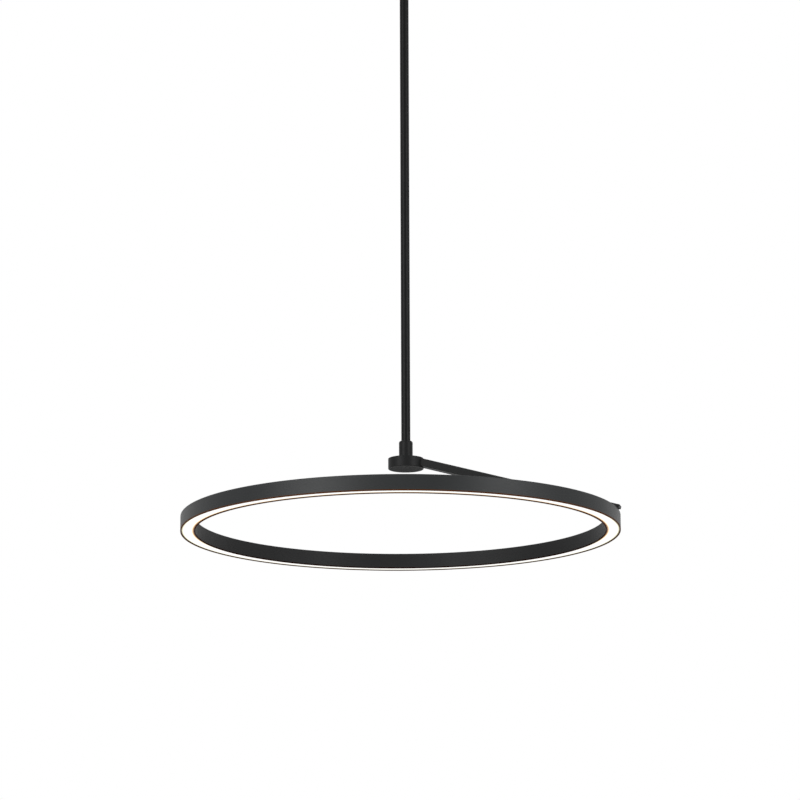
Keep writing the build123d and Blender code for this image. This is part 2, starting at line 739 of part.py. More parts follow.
# Arm: a flat tube, cut square at its end and level where it seats on the ring
with BuildPart() as arm_tube:
    with BuildSketch(Plane.XZ):
        with BuildLine():
            arm_bar(arm_root_x, 0, arm_height)
        make_face()
    extrude(amount=arm_width / 2, both=True)
    fillet(arm_tube.edges().filter_by(Axis((0, 0, 0), arm_direction)), arm_corner_r)
    with BuildSketch(Plane.XZ):
        with BuildLine():
            arm_bar(arm_root_x, cavity_top, cavity_bottom)
        make_face()
    extrude(amount=arm_width / 2 - arm_wall, both=True, mode=Mode.SUBTRACT)
    split(bisect_by=Plane.XY.offset(ring_top), keep=Keep.TOP)
    with BuildSketch(Plane.XY.offset(ring_top)):
        with Locations((wire_drop_x, 0)):
            Circle(wire_hole_d / 2)
        with Locations((foot_screw_x, 0)):
            with GridLocations(0, foot_screw_spread, 1, 2):
                Circle(m3_r + hole_gap)
    extrude(amount=arm_height / 2, mode=Mode.SUBTRACT)
    for x in grub_places:
        with BuildSketch(Plane((x, 0, arm_line(x, 0)), z_dir=arm_normal)):
            Circle(m3_r + slip)
        extrude(amount=-arm_wall, mode=Mode.SUBTRACT)
arm_tube.part.label = "arm_tube"
export_step(arm_tube.part, "parts/arm_tube.step")

# Plug that closes the arm's end and takes the screws from the ring
with BuildPart() as arm_end_plug:
    with BuildSketch(Plane.XZ):
        with BuildLine():
            arm_bar(plug_start_x, cavity_top + slip, cavity_bottom - slip)
        make_face()
    extrude(amount=spigot_half, both=True)
    split(bisect_by=Plane.XY.offset(ring_top), keep=Keep.TOP)
    with BuildSketch(Plane.XY.offset(ring_top)):
        with Locations((foot_screw_x, 0)):
            with GridLocations(0, foot_screw_spread, 1, 2):
                Circle(m3_r + slip)
    extrude(amount=m3_foot_length - ring_wall + slip, mode=Mode.SUBTRACT)
    with BuildSketch(Plane((grub_places[1], 0, arm_line(grub_places[1], 0)), z_dir=arm_normal)):
        Circle(m3_r + slip)
    extrude(amount=-m3_grub_length - slip, mode=Mode.SUBTRACT)
arm_end_plug.part.label = "arm_end_plug"
export_step(arm_end_plug.part, "parts/arm_end_plug.step")

with BuildPart() as arm_grub_screws:
    for x in grub_places:
        with BuildSketch(Plane((x, 0, arm_line(x, 0)), z_dir=arm_normal)):
            Circle(m3_r)
        extrude(amount=-m3_grub_length)
        with BuildSketch(Plane((x, 0, arm_line(x, 0)), z_dir=arm_normal)):
            RegularPolygon(m3_grub_key / 2, 6, major_radius=False)
        extrude(amount=-key_depth, mode=Mode.SUBTRACT)
arm_grub_screws.part.label = "arm_grub_screws"
export_step(arm_grub_screws.part, "parts/arm_grub_screws.step")

# Screws from inside the ring up into the plug
with BuildPart() as arm_foot_screws:
    with BuildSketch(Plane.XY.offset(ring_top - ring_wall)):
        with Locations((foot_screw_x, 0)):
            with GridLocations(0, foot_screw_spread, 1, 2):
                Circle(m3_head_d / 2)
    extrude(amount=-m3_head_height)
    with BuildSketch(Plane.XY.offset(ring_top - ring_wall)):
        with Locations((foot_screw_x, 0)):
            with GridLocations(0, foot_screw_spread, 1, 2):
                Circle(m3_r)
    extrude(amount=m3_foot_length)
    with BuildSketch(Plane.XY.offset(ring_top - ring_wall - m3_head_height)):
        with Locations((foot_screw_x, 0)):
            with GridLocations(0, foot_screw_spread, 1, 2):
                RegularPolygon(m3_head_key / 2, 6, major_radius=False)
    extrude(amount=key_depth, mode=Mode.SUBTRACT)
arm_foot_screws.part.label = "arm_foot_screws"
export_step(arm_foot_screws.part, "parts/arm_foot_screws.step")

# Two thin wires from the knuckle through rod, hub and arm to the ring's boards
with BuildPart() as pendant_lead:
    for side in (-1, 1):
        y = side * wire_pitch / 2
        with BuildLine() as wire_path:
            FilletPolyline(
                (0, y, pivot_level - knuckle_r / 2),
                (0, y, wire_level),
                (arm_root_x, y, wire_level),
                (wire_drop_x, y, wire_level - tan(arm_slope) * (wire_drop_x - arm_root_x)),
                (wire_drop_x, y, board_top),
                radius=[wire_bend_r, wire_slope_bend_r, wire_bend_r],
            )
        with BuildSketch(Plane(origin=wire_path.line @ 0, z_dir=wire_path.line % 0)):
            Circle(wire_d / 2)
        sweep()
pendant_lead.part.label = "pendant_lead"
export_step(pendant_lead.part, "parts/pendant_lead.step")

# Ring: a rolled channel with stop ribs for the boards and snap ribs for the diffuser
section_half = ring_width / 2
inner_half = section_half - ring_wall
board_level = board_top - ring_bottom

with BuildPart() as ring_channel:
    with BuildSketch(radial_plane(0)):
        with BuildLine():
            Polyline(
                (0, ring_height),
                (section_half, ring_height),
                (section_half, 0),
                (inner_half, 0),
                (inner_half, snap_rib_level - snap_rib_height / 2),
                (inner_half - snap_rib_depth, snap_rib_level),
                (inner_half, snap_rib_level + snap_rib_height / 2),
                (inner_half, board_level),
                (inner_half - stop_rib_depth, board_level),
                (inner_half - stop_rib_depth, board_level + stop_rib_height),
                (inner_half, board_level + stop_rib_height),
                (inner_half, ring_height - ring_wall),
                (0, ring_height - ring_wall),
                close=True,
            )
        channel_half = make_face()
        fillet(channel_half.vertices().group_by(Axis.Y)[-1].sort_by(Axis.X)[-1], ring_edge_r)
        mirror(about=Plane.YZ)
    revolve(axis=ring_axis)
    with BuildSketch(Plane.XY.offset(ring_top)):
        with Locations((foot_screw_x, 0)):
            with GridLocations(0, foot_screw_spread, 1, 2):
                Circle(m3_r + hole_gap)
        with Locations((wire_drop_x, 0)):
            Circle(wire_hole_d / 2)
    extrude(amount=-ring_wall, mode=Mode.SUBTRACT)
ring_channel.part.label = "ring_channel"
export_step(ring_channel.part, "parts/ring_channel.step")

# Diffuser: an opal plate with two legs that snap over the ribs
diffuser_half = inner_half - diffuser_gap
diffuser_top = diffuser_recess + diffuser_height

with BuildPart() as diffuser:
    with BuildSketch(radial_plane(0)):
        with BuildLine():
            Polyline(
                (0, diffuser_recess),
                (diffuser_half, diffuser_recess),
                (diffuser_half, snap_rib_level - snap_rib_height / 2),
                (diffuser_half - snap_rib_depth, snap_rib_level),
                (diffuser_half, snap_rib_level + snap_rib_height / 2),
                (diffuser_half, diffuser_top),
                (diffuser_half - diffuser_leg, diffuser_top),
                (diffuser_half - diffuser_leg, diffuser_recess + diffuser_plate),
                (0, diffuser_recess + diffuser_plate),
                close=True,
            )
        make_face()
        mirror(about=Plane.YZ)
    revolve(axis=ring_axis)
diffuser.part.label = "diffuser"
export_step(diffuser.part, "parts/diffuser.step")

# LED boards: arcs that lie against the stop ribs
board_arc = 360 / board_count - degrees(board_joint / ring_mid_r)

with BuildPart() as led_boards:
    for index in range(board_count):
        with BuildSketch(radial_plane(360 / board_count * (index + 0.5))):
            with Locations((0, board_level - board_thickness / 2)):
                Rectangle(2 * (inner_half - fit_gap), board_thickness)
        revolve(axis=ring_axis, revolution_arc=board_arc)
led_boards.part.label = "led_boards"
export_step(led_boards.part, "parts/led_boards.step")

# LEDs under the boards
with BuildPart() as led_chips:
    with BuildSketch(Plane.XY.offset(board_bottom)):
        with Locations((ring_x, 0)):
            with PolarLocations(ring_mid_r, chip_count, start_angle=180 / chip_count):
                Rectangle(chip_size[0], chip_size[1])
    extrude(amount=-chip_size[2])
led_chips.part.label = "led_chips"
export_step(led_chips.part, "parts/led_chips.step")
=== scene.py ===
import json
import math

import bpy
import numpy as np
from mathutils import Matrix, Vector


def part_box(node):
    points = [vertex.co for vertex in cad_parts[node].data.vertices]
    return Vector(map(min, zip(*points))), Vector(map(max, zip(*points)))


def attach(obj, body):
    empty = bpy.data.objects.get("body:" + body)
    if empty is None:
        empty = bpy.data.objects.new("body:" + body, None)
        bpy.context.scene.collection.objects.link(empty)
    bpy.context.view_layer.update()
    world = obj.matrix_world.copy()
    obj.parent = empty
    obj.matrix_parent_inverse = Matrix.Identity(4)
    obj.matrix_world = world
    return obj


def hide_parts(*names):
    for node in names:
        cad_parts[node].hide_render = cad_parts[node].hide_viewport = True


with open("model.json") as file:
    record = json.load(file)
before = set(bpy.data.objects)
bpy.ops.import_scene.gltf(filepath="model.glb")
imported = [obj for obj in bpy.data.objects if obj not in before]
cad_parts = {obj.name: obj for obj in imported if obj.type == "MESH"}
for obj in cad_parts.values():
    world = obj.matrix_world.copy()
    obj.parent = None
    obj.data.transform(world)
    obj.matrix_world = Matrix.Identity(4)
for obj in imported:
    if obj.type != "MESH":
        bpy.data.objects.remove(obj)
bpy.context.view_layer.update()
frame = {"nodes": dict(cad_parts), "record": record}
nodes = frame["nodes"]
scene = bpy.context.scene

# Ring and room, in metres, in the part's own frame
ring_axis_x = -0.008
ring_low = -0.9043
ring_mid_radius = 0.29475
floor_level = -2.40

# The arm points this far towards the camera from the picture's right
arm_turn = math.radians(12.0)

# Camera, far off and a little below the ring: place from the ring's middle, turns in radians,
# lens and sensor in millimetres
camera_place = (0.0053, -4.5, -0.8329)
camera_yaw, camera_pitch, camera_roll = -0.0012, 0.2234, -0.0035
camera_lens, camera_sensor = 148.35, 36.0
camera_reach = 60.0

# Softboxes: name, place, what it points at, width, height, watts
softboxes = [
    ("left_softbox", (-1.9, -2.15, 0.5), (0, 0, 0.2), 1.6, 2.4, 64),
    ("right_softbox", (2.25, -1.75, 0.5), (0, 0, 0.2), 1.2, 2.4, 49),
    ("top_softbox", (0.0, 0.6, 3.2), (0, 0, 0.0), 2.6, 2.6, 16),
]

FLOAT, COLOR, VECTOR = "NodeSocketFloat", "NodeSocketColor", "NodeSocketVector"


def studio_direction(x, y, z):
    """A direction, x to the picture's right, y away from the camera and z up, turned by the arm's angle."""
    return Matrix.Rotation(arm_turn, 3, "Z") @ Vector((x, y, z))


def studio_point(x, y, z):
    """A place given in the same way from the ring's middle, moved to the part's frame."""
    return studio_direction(x, y, z) + Vector((ring_axis_x, 0.0, ring_low))


def add_camera():
    yaw, pitch, roll = camera_yaw, camera_pitch, camera_roll
    ahead = Vector((math.sin(yaw) * math.cos(pitch), math.cos(yaw) * math.cos(pitch), math.sin(pitch)))
    level = Vector((math.cos(yaw), -math.sin(yaw), 0.0))
    upright = level.cross(ahead)
    right = math.cos(roll) * level + math.sin(roll) * upright
    up = math.cos(roll) * upright - math.sin(roll) * level
    lens = bpy.data.cameras.new("camera")
    lens.sensor_width = camera_sensor
    lens.lens = camera_lens
    lens.clip_end = camera_reach
    camera = bpy.data.objects.new("camera", lens)
    scene.collection.objects.link(camera)
    turn = Matrix([studio_direction(*v) for v in (right, up, -ahead)]).transposed()
    camera.matrix_world = Matrix.Translation(studio_point(*camera_place)) @ turn.to_4x4()
    scene.camera = camera


# Node helpers
def rgb(red, green, blue):
    """An opaque colour, in linear values."""
    return (red, green, blue, 1.0)


def feed(tree, value, socket):
    """Links the value to a socket where it is a socket itself, and sets it otherwise."""
    if isinstance(value, bpy.types.NodeSocket):
        tree.links.new(value, socket)
    else:
        socket.default_value = value


def add(tree, kind, **values):
    """Adds a node and sets its properties, or feeds its inputs where the name is an input's."""
    node = tree.nodes.new(kind)
    for key, value in values.items():
        if key in node.inputs:
            feed(tree, value, node.inputs[key])
        else:
            setattr(node, key, value)
    return node


def math_node(tree, operation, *values, clamp=False):
    """The result of one Math node; the values are numbers or sockets."""
    node = add(tree, "ShaderNodeMath", operation=operation, use_clamp=clamp)
    for socket, value in zip(node.inputs, values):
        feed(tree, value, socket)
    return node.outputs[0]


def about_middle(tree, noise, share):
    """A noise about its middle value, times a share."""
    return math_node(tree, "MULTIPLY", math_node(tree, "SUBTRACT", noise, 0.5), share)


def mix_colors(tree, part, first, second, blend="MIX"):
    """A mix of two colours. A Mix node's colour sockets come after those for numbers and vectors."""
    node = add(tree, "ShaderNodeMix", data_type="RGBA", blend_type=blend)
    for index, value in ((0, part), (6, first), (7, second)):
        feed(tree, value, node.inputs[index])
    return node.outputs[2]


def mix_shaders(tree, part, first, second):
    """A mix of two shaders' outputs."""
    node = add(tree, "ShaderNodeMixShader")
    for socket, value in zip(node.inputs, (part, first, second)):
        feed(tree, value, socket)
    return node.outputs[0]


def map_range(tree, value, near, far, at_near=0.0, at_far=1.0, kind="LINEAR"):
    """Goes from at_near to at_far while the value goes from near to far, and stays level outside."""
    node = add(tree, "ShaderNodeMapRange", interpolation_type=kind, Value=value)
    for key, number in zip(("From Min", "From Max", "To Min", "To Max"), (near, far, at_near, at_far)):
        node.inputs[key].default_value = number
    return node.outputs["Result"]


def glow_ramp(tree, place, near, far, stops):
    """A colour that follows a place between two values; stops are (part of the way, colour)."""
    ramp = add(tree, "ShaderNodeValToRGB", Fac=map_range(tree, place, near, far))
    marks = ramp.color_ramp.elements
    marks[0].color, marks[1].color = stops[0][1], stops[-1][1]
    for part, color in stops[1:-1]:
        marks.new(part).color = color
    return ramp.outputs["Color"]


def object_place(tree):
    """The place in the object's own frame."""
    return tree.nodes["Texture Coordinate"].outputs["Object"]


def axes(tree):
    """The three parts of that place."""
    return add(tree, "ShaderNodeSeparateXYZ", Vector=object_place(tree)).outputs


def ring_reach(tree):
    """The distance from the ring's axis: the length of the flat part of the place."""
    flat = add(tree, "ShaderNodeVectorMath", operation="MULTIPLY_ADD")
    for socket, value in zip(flat.inputs, (object_place(tree), (1, 1, 0), (-ring_axis_x, 0, 0))):
        feed(tree, value, socket)
    return add(tree, "ShaderNodeVectorMath", operation="LENGTH", Vector=flat.outputs[0]).outputs["Value"]


def new_finish(name):
    """An empty material with its shader and output: gives the material, its nodes and the shader."""
    finish = bpy.data.materials.new(name)
    finish.use_nodes = True
    tree = finish.node_tree
    tree.nodes.clear()
    shader = add(tree, "ShaderNodeBsdfPrincipled")
    add(tree, "ShaderNodeOutputMaterial", Surface=shader.outputs["BSDF"])
    return finish, tree, shader


# Skins: shader node groups that turn a place into a colour, a roughness and a height
def new_skin(name, inputs):
    """A node group with a place and its own inputs, (name, kind, value): gives the group, its
    inputs as sockets to link from, and its outputs as sockets to link to."""
    tree = bpy.data.node_groups.new(name, "ShaderNodeTree")
    tree.interface.new_socket("Where", in_out="INPUT", socket_type=VECTOR)
    for label, kind, value in inputs:
        tree.interface.new_socket(label, in_out="INPUT", socket_type=kind).default_value = value
    for label, kind in (("Color", COLOR), ("Roughness", FLOAT), ("Height", FLOAT)):
        tree.interface.new_socket(label, in_out="OUTPUT", socket_type=kind)
    return tree, tree.nodes.new("NodeGroupInput").outputs, tree.nodes.new("NodeGroupOutput").inputs


def powder_skin():
    """Powder coat: fine pebbles and slow drifts, whose product lifts the tone, and small specks that
    lift it more. Pebbles and drifts also change the roughness a little."""
    drift_scale, speck_scale, speck_size = 14.0, 900.0, 0.12
    lift_slope, lift_start, speck_lift = 1.5, -0.1, 0.35
    drift_rough, pebble_rough = 0.16, 0.18
    tree, source, result = new_skin("powder_coat_skin", [
        ("Tone", COLOR, rgb(0.01, 0.01, 0.01)),
        ("Lift", COLOR, rgb(0.02, 0.02, 0.02)),
        ("Roughness", FLOAT, 0.5),
        ("Pebble Size", FLOAT, 1600.0),
    ])
    where = source["Where"]
    pebble = add(
        tree, "ShaderNodeTexNoise", Vector=where, Scale=source["Pebble Size"], Detail=2.0, Roughness=0.55
    ).outputs["Fac"]
    drift = add(tree, "ShaderNodeTexNoise", Vector=where, Scale=drift_scale, Detail=3.0).outputs["Fac"]
    speck = add(tree, "ShaderNodeTexVoronoi", Vector=where, Scale=speck_scale).outputs["Distance"]
    sparkle = math_node(tree, "MULTIPLY", math_node(tree, "LESS_THAN", speck, speck_size), speck_lift)
    amount = math_node(tree, "MULTIPLY", pebble, drift)
    amount = math_node(tree, "MULTIPLY_ADD", amount, lift_slope, lift_start)
    amount = math_node(tree, "ADD", amount, sparkle, clamp=True)
    rough = math_node(tree, "ADD", source["Roughness"], about_middle(tree, drift, drift_rough))
    rough = math_node(tree, "ADD", rough, about_middle(tree, pebble, pebble_rough), clamp=True)
    feed(tree, mix_colors(tree, amount, source["Tone"], source["Lift"]), result["Color"])
    feed(tree, rough, result["Roughness"])
    feed(tree, pebble, result["Height"])
    return tree


def metal_skin():
    """Plated or drawn metal: fine streaks, stretched by the Streaks scale on each axis, and slow
    stains, whose product moves from the stain to the tone. The streaks change the roughness."""
    bloom_scale, tone_slope, streak_rough = 220.0, 2.2, 0.3
    tree, source, result = new_skin("worked_metal_skin", [
        ("Tone", COLOR, rgb(0.5, 0.5, 0.5)),
        ("Stain", COLOR, rgb(0.4, 0.4, 0.4)),
        ("Roughness", FLOAT, 0.3),
        ("Streaks", VECTOR, (200.0, 2000.0, 2000.0)),
    ])
    where = source["Where"]
    drawn = add(tree, "ShaderNodeVectorMath", operation="MULTIPLY")
    feed(tree, where, drawn.inputs[0])
    feed(tree, source["Streaks"], drawn.inputs[1])
    streak = add(tree, "ShaderNodeTexNoise", Vector=drawn.outputs[0], Scale=1.0, Detail=3.0).outputs["Fac"]
    bloom = add(
        tree, "ShaderNodeTexNoise", Vector=where, Scale=bloom_scale, Detail=4.0, Roughness=0.6
    ).outputs["Fac"]
    shade = math_node(tree, "MULTIPLY", math_node(tree, "MULTIPLY", streak, bloom), tone_slope, clamp=True)
    rough = math_node(tree, "ADD", source["Roughness"], about_middle(tree, streak, streak_rough), clamp=True)
    feed(tree, mix_colors(tree, shade, source["Stain"], source["Tone"]), result["Color"])
    feed(tree, rough, result["Roughness"])
    feed(tree, streak, result["Height"])
    return tree


def moulded_skin():
    """Moulded plastic: a fine spark-worn mould grain with faint flow marks. Both move from the tone
    to the shade, and the flow marks change the roughness."""
    flow_scale, grain_shade, flow_shade, flow_rough = 60.0, 0.35, 0.6, 0.2
    tree, source, result = new_skin("moulded_skin", [
        ("Tone", COLOR, rgb(0.5, 0.5, 0.5)),
        ("Shade", COLOR, rgb(0.4, 0.4, 0.4)),
        ("Roughness", FLOAT, 0.45),
        ("Grain Size", FLOAT, 1400.0),
    ])
    where = source["Where"]
    grain = add(
        tree, "ShaderNodeTexVoronoi", feature="SMOOTH_F1", Vector=where, Scale=source["Grain Size"]
    ).outputs["Distance"]
    flow = add(
        tree, "ShaderNodeTexNoise", Vector=where, Scale=flow_scale, Detail=3.0, Distortion=0.6
    ).outputs["Fac"]
    mixed = math_node(
        tree, "ADD", math_node(tree, "MULTIPLY", grain, grain_shade), math_node(tree, "MULTIPLY", flow, flow_shade),
        clamp=True,
    )
    rough = math_node(tree, "ADD", source["Roughness"], about_middle(tree, flow, flow_rough), clamp=True)
    feed(tree, mix_colors(tree, mixed, source["Tone"], source["Shade"]), result["Color"])
    feed(tree, rough, result["Roughness"])
    feed(tree, grain, result["Height"])
    return tree


powder = powder_skin()
metal = metal_skin()
moulded = moulded_skin()


# Finishes
def place_skin(tree, shader, skin, **values):
    """Places a skin in a material with its own values and feeds the shader's colour and roughness.
    Spaces in a socket's name are written as underscores."""
    group = add(tree, "ShaderNodeGroup", node_tree=skin)
    for key, value in values.items():
        group.inputs[key.replace("_", " ")].default_value = value
    feed(tree, add(tree, "ShaderNodeTexCoord").outputs["Object"], group.inputs["Where"])
    feed(tree, group.outputs["Color"], shader.inputs["Base Color"])
    feed(tree, group.outputs["Roughness"], shader.inputs["Roughness"])
    return group.outputs


def skin_finish(name, skin, relief, depth, shader_values, **values):
    """A finish from one of the skins, whose height goes to a bump of the given strength and depth.
    shader_values are set on the shader's own sockets."""
    finish, tree, shader = new_finish(name)
    height = place_skin(tree, shader, skin, **values)["Height"]
    bump = add(tree, "ShaderNodeBump", Strength=relief, Distance=depth, Height=height)
    feed(tree, bump.outputs["Normal"], shader.inputs["Normal"])
    for key, value in shader_values.items():
        shader.inputs[key].default_value = value
    return finish


def black_coat(place, shine, tone, lift, roughness):
    """Black powder coat; shine is the strength of its reflection."""
    relief, depth, pebbles = 0.25, 0.00006, 1700.0
    return skin_finish(
        "black_powder_coat_on_" + place, powder, relief, depth, {"Specular IOR Level": shine},
        Tone=tone, Lift=lift, Roughness=roughness, Pebble_Size=pebbles,
    )


def worked_metal(name, relief, depth, shader_values, tone, stain, roughness, streaks):
    """Metal with the worked skin."""
    return skin_finish(
        name, metal, relief, depth, shader_values, Tone=tone, Stain=stain, Roughness=roughness, Streaks=streaks
    )


def moulding(name, relief, depth, tone, shade, roughness, grain):
    """Plastic, foam or a sheath with the moulded skin."""
    return skin_finish(name, moulded, relief, depth, {}, Tone=tone, Shade=shade, Roughness=roughness, Grain_Size=grain)


def opal_finish():
    """The lit diffuser: the light is even over the middle of its width and falls off near the two
    walls, by the distance from the ring's axis, to a warm brown at the inner wall and to a narrower
    olive line at the outer one. The same tint darkens the skin's colour: painted shade at the walls."""
    strength = 0.70
    inner_from, inner_to = 0.0055, 0.0086
    inner_stops = [
        (0.0, rgb(1.0, 0.985, 0.955)), (0.30, rgb(1.0, 0.82, 0.45)), (0.55, rgb(0.66, 0.30, 0.055)),
        (0.78, rgb(0.17, 0.048, 0.008)), (1.0, rgb(0.055, 0.014, 0.003)),
    ]
    outer_from, outer_to = 0.0061, 0.0087
    outer_stops = [
        (0.0, rgb(1.0, 1.0, 1.0)), (0.40, rgb(0.84, 0.82, 0.58)), (0.72, rgb(0.19, 0.17, 0.075)),
        (1.0, rgb(0.04, 0.034, 0.018)),
    ]
    finish, tree, shader = new_finish("lit_opal_acrylic")
    skin = place_skin(
        tree, shader, moulded,
        Tone=rgb(0.47, 0.465, 0.45), Shade=rgb(0.43, 0.425, 0.41), Roughness=0.42, Grain_Size=2200.0,
    )
    outward = math_node(tree, "SUBTRACT", ring_reach(tree), ring_mid_radius)
    inward = math_node(tree, "MULTIPLY", outward, -1.0)
    inner_fall = glow_ramp(tree, inward, inner_from, inner_to, inner_stops)
    outer_fall = glow_ramp(tree, outward, outer_from, outer_to, outer_stops)
    glow = mix_colors(tree, 1.0, inner_fall, outer_fall, "MULTIPLY")
    feed(tree, glow, shader.inputs["Emission Color"])
    shader.inputs["Emission Strength"].default_value = strength
    # Painted shade: the falloff tint also darkens the diffuser's own colour near the walls.
    feed(tree, mix_colors(tree, 1.0, skin["Color"], glow, "MULTIPLY"), shader.inputs["Base Color"])
    return finish


def ring_finish():
    """The ring's powder coat with two masks. The lip, the lowest millimetre or two, is rougher and
    metallic, and carries painted light: the diffuser's warm brown glow is painted into its colour.
    The inner wall, by the distance from the ring's axis, is darker and a little rougher."""
    lip_full, lip_end = ring_low + 0.0011, ring_low + 0.0020
    inner_full, inner_end = 0.2847, 0.2857
    # The lip's two colours are painted light: the diffuser's warm glow on the outer and the inner lip.
    inner_color, lip_painted_glow_color, inner_lip_painted_glow_color = (
        rgb(0.0014, 0.0016, 0.0017), rgb(0.085, 0.029, 0.009), rgb(0.020, 0.0045, 0.0015)
    )
    inner_rougher, lip_rougher = 0.12, 0.4
    finish = black_coat("ring", 0.23, rgb(0.0062, 0.0071, 0.0075), rgb(0.0130, 0.0146, 0.0152), 0.46)
    tree = finish.node_tree
    shader, skin = tree.nodes["Principled BSDF"].inputs, tree.nodes["Group"].outputs
    lip = map_range(tree, axes(tree)["Z"], lip_full, lip_end, 1.0, 0.0, "SMOOTHSTEP")
    inner = map_range(tree, ring_reach(tree), inner_full, inner_end, 1.0, 0.0)
    wall = mix_colors(tree, inner, skin["Color"], inner_color)
    warm = mix_colors(tree, inner, lip_painted_glow_color, inner_lip_painted_glow_color)
    # The lip takes the painted glow in place of the coat's colour.
    feed(tree, mix_colors(tree, lip, wall, warm), shader["Base Color"])
    feed(tree, lip, shader["Metallic"])
    rougher = math_node(tree, "MULTIPLY", inner, inner_rougher)
    rougher = math_node(tree, "ADD", rougher, math_node(tree, "MULTIPLY", lip, lip_rougher))
    feed(tree, math_node(tree, "ADD", skin["Roughness"], rougher, clamp=True), shader["Roughness"])
    return finish


def driver_finish():
    """The driver's moulded case: a thin dark line runs round it where the lid meets the tub, at
    two thirds of its height."""
    lid_part, line_full, line_end = 0.67, 0.00012, 0.00034
    finish = moulding(
        "driver_case_plastic", 0.3, 0.0002, rgb(0.74, 0.74, 0.72), rgb(0.62, 0.62, 0.60), 0.5, 1300.0
    )
    tree = finish.node_tree
    skin = tree.nodes["Group"].outputs
    low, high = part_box("led_driver")
    seam = low[2] + (high[2] - low[2]) * lid_part
    off = math_node(tree, "ABSOLUTE", math_node(tree, "SUBTRACT", axes(tree)["Z"], seam))
    line = map_range(tree, off, line_full, line_end, 1.0, 0.0, "SMOOTHSTEP")
    color = mix_colors(tree, line, skin["Color"], rgb(0.16, 0.16, 0.155))
    feed(tree, color, tree.nodes["Principled BSDF"].inputs["Base Color"])
    feed(tree, math_node(tree, "SUBTRACT", skin["Height"], line), tree.nodes["Bump"].inputs["Height"])
    return finish


def thread_finish(lowest):
    """Zinc plate with a cut thread above a level. The thread's height is a triangle wave of the
    height along the bolt over the pitch, plus the turn about the bolt's axis."""
    pitch, skin_share = 0.001, 0.05
    finish = worked_metal(
        "zinc_plated_thread", 0.7, 0.0005, {"Metallic": 1.0},
        rgb(0.62, 0.64, 0.66), rgb(0.44, 0.45, 0.46), 0.32, (1500.0, 1500.0, 350.0),
    )
    tree = finish.node_tree
    place = axes(tree)
    turn = math_node(tree, "DIVIDE", math_node(tree, "ARCTAN2", place["Y"], place["X"]), 2 * math.pi)
    run = math_node(tree, "ADD", math_node(tree, "DIVIDE", place["Z"], pitch), turn)
    wave = math_node(tree, "PINGPONG", run, 0.5)
    cut = math_node(tree, "MULTIPLY", wave, math_node(tree, "GREATER_THAN", place["Z"], lowest))
    fine = math_node(tree, "MULTIPLY", tree.nodes["Group"].outputs["Height"], skin_share)
    feed(tree, math_node(tree, "ADD", cut, fine), tree.nodes["Bump"].inputs["Height"])
    return finish


def make_finishes():
    """One finish for each material slot, and for pieces whose coat is their own."""
    metallic = {"Metallic": 1.0}
    zinc, zinc_stain = rgb(0.62, 0.64, 0.66), rgb(0.44, 0.45, 0.46)
    return {
        "black_coat_steel": black_coat(
            "steel", 0.09, rgb(0.0026, 0.0028, 0.0028), rgb(0.0060, 0.0063, 0.0063), 0.36
        ),
        "black_coat_aluminium": black_coat(
            "arm", 0.12, rgb(0.0044, 0.0047, 0.0047), rgb(0.0092, 0.0098, 0.0098), 0.50
        ),
        "ring_channel": ring_finish(),
        "hub_body": black_coat("hub", 0.115, rgb(0.0042, 0.0044, 0.0044), rgb(0.009, 0.0094, 0.0094), 0.47),
        "hub_cover": black_coat("lid", 0.045, rgb(0.0032, 0.0034, 0.0034), rgb(0.0075, 0.0078, 0.0078), 0.52),
        "black_screw": worked_metal(
            "black_oxide_screw", 0.15, 0.00004, {"Specular IOR Level": 0.4},
            rgb(0.02, 0.02, 0.021), rgb(0.012, 0.012, 0.012), 0.38, (2500.0, 2500.0, 2500.0),
        ),
        "zinc_steel": worked_metal(
            "zinc_plated_steel", 0.12, 0.00005, metallic, zinc, zinc_stain, 0.34, (350.0, 1500.0, 1500.0)
        ),
        "earth_green": worked_metal(
            "green_earth_screw", 0.12, 0.00004, {"Metallic": 0.7},
            rgb(0.06, 0.33, 0.10), rgb(0.03, 0.20, 0.06), 0.36, (1200.0, 1200.0, 1200.0),
        ),
        "bare_aluminium": worked_metal(
            "milled_aluminium", 0.15, 0.00005, metallic,
            rgb(0.74, 0.75, 0.76), rgb(0.58, 0.59, 0.60), 0.36, (2400.0, 300.0, 2400.0),
        ),
        "driver_case": driver_finish(),
        "hanger_bolt": thread_finish(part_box("hanger_nut")[0][2]),
        "terminal_plastic": moulding(
            "terminal_nylon", 0.2, 0.00006, rgb(0.68, 0.66, 0.58), rgb(0.56, 0.54, 0.46), 0.42, 1700.0
        ),
        "foam_pad": moulding(
            "grey_foam_tape", 0.8, 0.0003, rgb(0.30, 0.30, 0.30), rgb(0.16, 0.16, 0.16), 0.9, 900.0
        ),
        "nylon": moulding(
            "black_nylon_washer", 0.2, 0.00005, rgb(0.020, 0.020, 0.020), rgb(0.012, 0.012, 0.012), 0.45, 1800.0
        ),
        "lead_sheath": moulding(
            "flat_mains_lead_sheath", 0.15, 0.00004, rgb(0.70, 0.69, 0.66), rgb(0.60, 0.59, 0.56), 0.4, 1500.0
        ),
        "wire_sheath": moulding(
            "thin_silicone_wire", 0.15, 0.00004, rgb(0.24, 0.03, 0.025), rgb(0.17, 0.02, 0.018), 0.35, 1500.0
        ),
        "board_white": moulding(
            "white_solder_mask", 0.1, 0.00003, rgb(0.82, 0.82, 0.80), rgb(0.74, 0.74, 0.72), 0.35, 2000.0
        ),
        "led_phosphor": moulding(
            "led_phosphor_gel", 0.2, 0.00005, rgb(0.78, 0.56, 0.12), rgb(0.66, 0.44, 0.08), 0.3, 2500.0
        ),
        "opal_diffuser": opal_finish(),
    }


# Pieces that share another piece's coat
shared_coat = {"bottom_collar": "hub_body"}


def dress_nodes(finishes):
    """Gives each solid its own or its shared coat, or else its material slot's finish."""
    for entry in frame["record"]["subparts"]:
        name = entry["node"]
        coat = finishes.get(shared_coat.get(name, name)) or finishes[entry["material_slot"]]
        nodes[name].material_slots[0].material = coat


